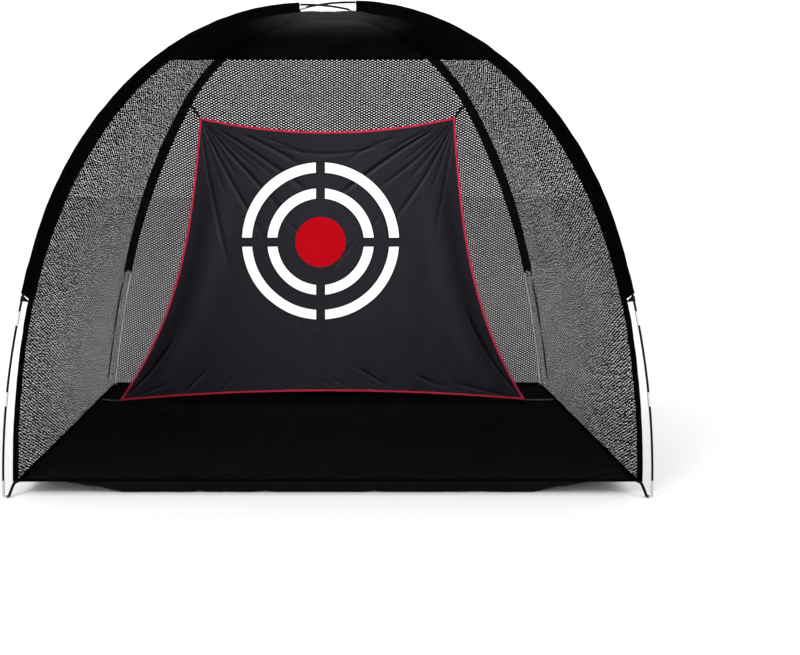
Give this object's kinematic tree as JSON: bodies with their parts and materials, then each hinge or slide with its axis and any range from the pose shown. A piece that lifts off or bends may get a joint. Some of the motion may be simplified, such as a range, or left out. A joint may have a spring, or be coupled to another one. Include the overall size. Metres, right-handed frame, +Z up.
{
  "type": "golf chipping net",
  "caption": "Free-standing golf chipping net: two crossing sectional poles in cloth sleeves carry net walls, a cap, a floor sheet and a hung ring target.",
  "frame": {"origin": "on the ground, midway between the four feet", "axes": "+Z up, +Y from the open front towards the back net, +X across the front"},
  "size_m": [2.7508, 1.8394, 2.1472],
  "materials": {
    "pole_fibreglass": "glossy black resin over glass fibre",
    "ferrule_metal": "satin metal tube",
    "foot_steel": "plated steel",
    "shock_cord": "braided elastic cord",
    "clip_plastic": "moulded black nylon",
    "sleeve_cloth": "black woven polyester",
    "edge_tape": "black woven tape",
    "net_mesh": "black knotless mesh",
    "cap_cloth": "black woven polyester",
    "floor_cloth": "black coated polyester",
    "webbing": "black webbing",
    "target_cloth": "charcoal woven polyester with a printed target",
    "target_binding": "red binding tape",
    "tie_cord": "black elastic cord"
  },
  "bodies": {
    "root": {"cap_back": "cap_cloth", "cap_left": "cap_cloth", "cap_right": "cap_cloth", "corner_webbing_front_left": "webbing", "corner_webbing_front_right": "webbing", "corner_webbing_rear_left": "webbing", "corner_webbing_rear_right": "webbing", "crown_patch": "cap_cloth", "edge_band_front_left": "edge_tape", "edge_band_front_right": "edge_tape", "edge_band_rear_left": "edge_tape", "edge_band_rear_right": "edge_tape", "floor_sheet": "floor_cloth", "front_edge_binding": "edge_tape", "lower_pole_crown_section": "pole_fibreglass", "lower_pole_front_ferrules": "ferrule_metal", "lower_pole_front_sections": "pole_fibreglass", "lower_pole_rear_ferrules": "ferrule_metal", "lower_pole_rear_sections": "pole_fibreglass", "lower_pole_shock_cord": "shock_cord", "lower_tie_loops": "webbing", "net_back": "net_mesh", "net_left": "net_mesh", "net_right": "net_mesh", "pole_clip_front_left": "clip_plastic", "pole_clip_front_right": "clip_plastic", "pole_clip_rear_left": "clip_plastic", "pole_clip_rear_right": "clip_plastic", "pole_sleeve_front_left": "sleeve_cloth", "pole_sleeve_front_right": "sleeve_cloth", "pole_sleeve_rear_left": "sleeve_cloth", "pole_sleeve_rear_right": "sleeve_cloth", "pole_tip_front_left": "ferrule_metal", "pole_tip_front_right": "ferrule_metal", "pole_tip_rear_left": "ferrule_metal", "pole_tip_rear_right": "ferrule_metal", "tie_lower_left": "tie_cord", "tie_lower_right": "tie_cord", "upper_pole_crown_section": "pole_fibreglass", "upper_pole_front_ferrules": "ferrule_metal", "upper_pole_front_sections": "pole_fibreglass", "upper_pole_rear_ferrules": "ferrule_metal", "upper_pole_rear_sections": "pole_fibreglass", "upper_pole_shock_cord": "shock_cord", "upper_tie_loops": "webbing"},
    "target": {"target_sheet": "target_cloth", "target_piping": "target_binding", "target_corner_tabs": "webbing", "tie_upper_left": "tie_cord", "tie_upper_right": "tie_cord"},
    "foot_pin_front_left": {"foot_pin_front_left": "foot_steel"},
    "foot_ring_front_left": {"foot_ring_front_left": "foot_steel"},
    "foot_pin_front_right": {"foot_pin_front_right": "foot_steel"},
    "foot_ring_front_right": {"foot_ring_front_right": "foot_steel"},
    "foot_pin_rear_left": {"foot_pin_rear_left": "foot_steel"},
    "foot_ring_rear_left": {"foot_ring_rear_left": "foot_steel"},
    "foot_pin_rear_right": {"foot_pin_rear_right": "foot_steel"},
    "foot_ring_rear_right": {"foot_ring_rear_right": "foot_steel"}
  },
  "joints": [
    {"name": "target_swing", "type": "hinge", "parent": "root", "child": "target", "pos_m": [0, 0.46927, 1.705], "axis": [1, 0, 0], "range_deg": [-2, 4], "stiffness_Nm_per_rad": 120, "deforming": ["tie_lower_left", "tie_lower_right"]},
    {"name": "foot_pin_front_left_pull", "type": "slide", "parent": "root", "child": "foot_pin_front_left", "axis": [-0.0351, -0.0234, -0.9991], "range_m": [0, 0.038], "deforming": ["corner_webbing_front_left"]},
    {"name": "foot_ring_front_left_swing", "type": "hinge", "parent": "foot_pin_front_left", "child": "foot_ring_front_left", "pos_m": [-1.36986, -0.9149, 0.0125], "axis": [-0.5554, 0.8316, 0], "range_deg": [-60, 55], "deforming": ["corner_webbing_front_left"]},
    {"name": "foot_pin_front_right_pull", "type": "slide", "parent": "root", "child": "foot_pin_front_right", "axis": [0.0351, -0.0234, -0.9991], "range_m": [0, 0.038], "deforming": ["corner_webbing_front_right"]},
    {"name": "foot_ring_front_right_swing", "type": "hinge", "parent": "foot_pin_front_right", "child": "foot_ring_front_right", "pos_m": [1.36986, -0.9149, 0.0125], "axis": [-0.5554, -0.8316, 0], "range_deg": [-60, 55], "deforming": ["corner_webbing_front_right"]},
    {"name": "foot_pin_rear_left_pull", "type": "slide", "parent": "root", "child": "foot_pin_rear_left", "axis": [-0.1605, 0.1072, -0.9812], "range_m": [0, 0.038], "deforming": ["corner_webbing_rear_left"]},
    {"name": "foot_ring_rear_left_swing", "type": "hinge", "parent": "foot_pin_rear_left", "child": "foot_ring_rear_left", "pos_m": [-1.36818, 0.91379, 0.01231], "axis": [0.5554, 0.8316, 0], "range_deg": [-60, 55], "deforming": ["corner_webbing_rear_left"]},
    {"name": "foot_pin_rear_right_pull", "type": "slide", "parent": "root", "child": "foot_pin_rear_right", "axis": [0.1605, 0.1072, -0.9812], "range_m": [0, 0.038], "deforming": ["corner_webbing_rear_right"]},
    {"name": "foot_ring_rear_right_swing", "type": "hinge", "parent": "foot_pin_rear_right", "child": "foot_ring_rear_right", "pos_m": [1.36818, 0.91379, 0.01231], "axis": [0.5554, -0.8316, 0], "range_deg": [-60, 55], "deforming": ["corner_webbing_rear_right"]}
  ]
}
